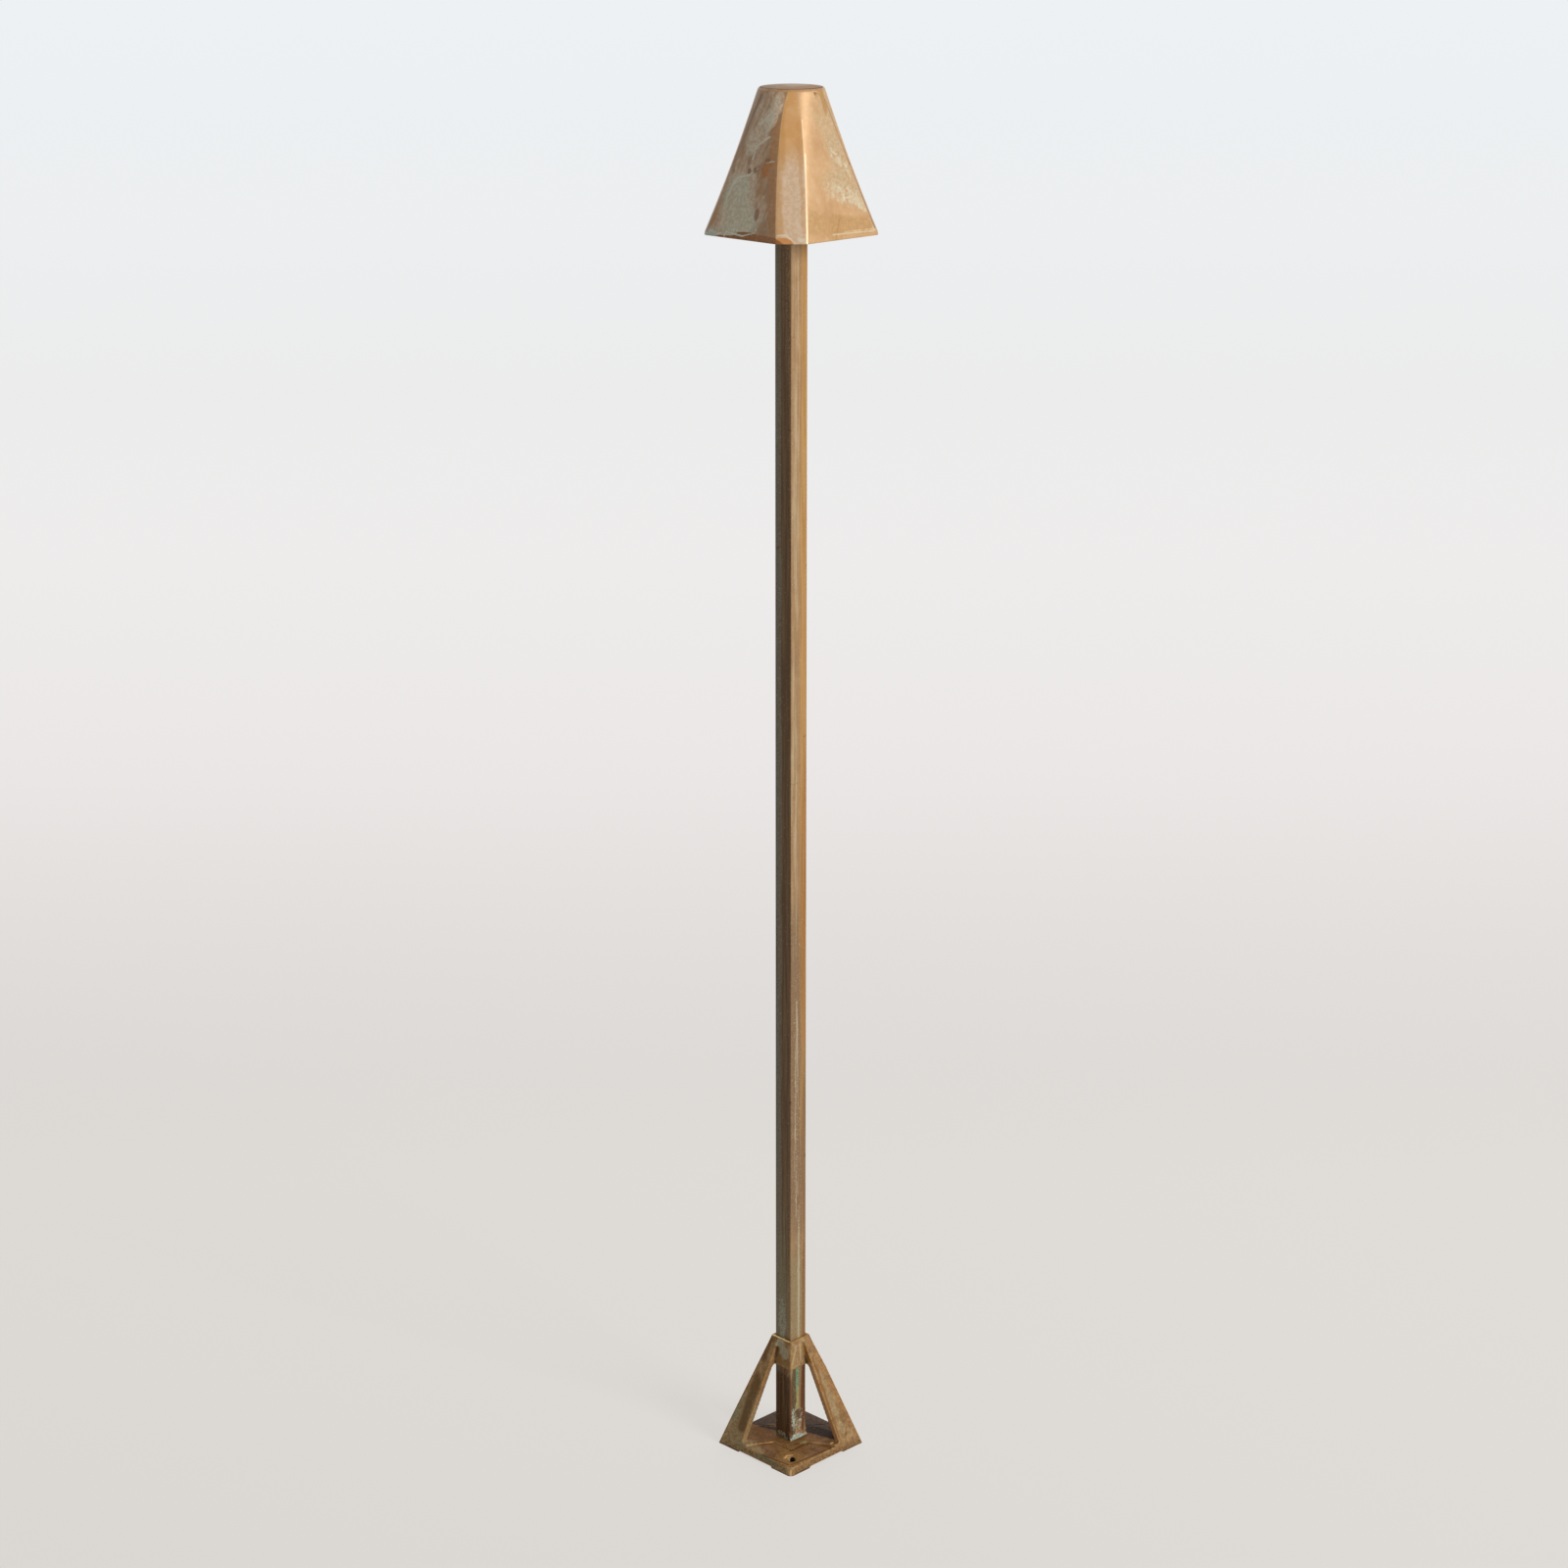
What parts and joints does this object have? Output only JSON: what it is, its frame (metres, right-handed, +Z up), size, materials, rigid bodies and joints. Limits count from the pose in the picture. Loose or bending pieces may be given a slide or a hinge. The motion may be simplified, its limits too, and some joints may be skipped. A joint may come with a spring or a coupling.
{
  "type": "path light",
  "caption": "Tall garden path light: square post on a two-legged pyramid foot, with a lift-off square hood over an upright bi-pin lamp.",
  "frame": {"origin": "centre of the foot on the ground", "axes": "+Z up; X and Y square to the post's faces; the legs stand on the -X -Y and +X +Y corners"},
  "size_m": [0.098, 0.098, 1.006],
  "materials": {
    "foot_bronze": "weathered cast bronze, brown with worn edges",
    "post_bronze": "weathered drawn bronze tube with streaks",
    "hood_bronze": "weathered cast bronze with grey-green patina",
    "hub_bronze": "as cast",
    "fitting_brass": "dull machined brass",
    "contact_brass": "bright machined brass",
    "dark_steel": "darkened stainless steel",
    "plain_steel": "stainless steel",
    "grommet_rubber": "black rubber",
    "block_plastic": "off-white polyamide",
    "brown_insulation": "brown insulation",
    "blue_insulation": "blue insulation",
    "socket_ceramic": "unglazed steatite",
    "lamp_glass": "clear quartz glass",
    "filament_metal": "tungsten",
    "pin_metal": "plated pins"
  },
  "bodies": {
    "stand": {"base_casting": "foot_bronze", "post": "post_bronze", "post_set_screws": "dark_steel", "wire_grommet": "grommet_rubber", "terminal_block": "block_plastic", "terminal_sleeves": "contact_brass", "terminal_screws": "plain_steel", "lead_wire_brown": "brown_insulation", "lead_wire_blue": "blue_insulation", "lamp_hub": "hub_bronze", "hub_screws": "dark_steel", "lamp_socket": "socket_ceramic", "socket_contacts": "contact_brass", "socket_screws": "plain_steel"},
    "hood_unit": {"hood": "hood_bronze", "hood_studs": "fitting_brass", "stud_jam_nuts": "fitting_brass"},
    "nut_left": {"thumb_nut_left": "fitting_brass"},
    "nut_right": {"thumb_nut_right": "fitting_brass"},
    "lamp": {"lamp_capsule": "lamp_glass", "lamp_filament": "filament_metal", "lamp_pins": "pin_metal"}
  },
  "joints": [
    {"name": "hood_lift", "type": "slide", "parent": "stand", "child": "hood_unit", "axis": [0, 0, 1], "range_m": [0, 0.1]},
    {"name": "lamp_pull", "type": "slide", "parent": "stand", "child": "lamp", "axis": [0, 0, 1], "range_m": [0, 0.012]},
    {"name": "thumb_nut_left_turn", "type": "hinge", "parent": "stand", "child": "nut_left", "pos_m": [-0.015, 0, 0.9345], "axis": [0, 0, 1], "continuous": true},
    {"name": "thumb_nut_right_turn", "type": "hinge", "parent": "stand", "child": "nut_right", "pos_m": [0.015, 0, 0.9345], "axis": [0, 0, 1], "continuous": true}
  ]
}
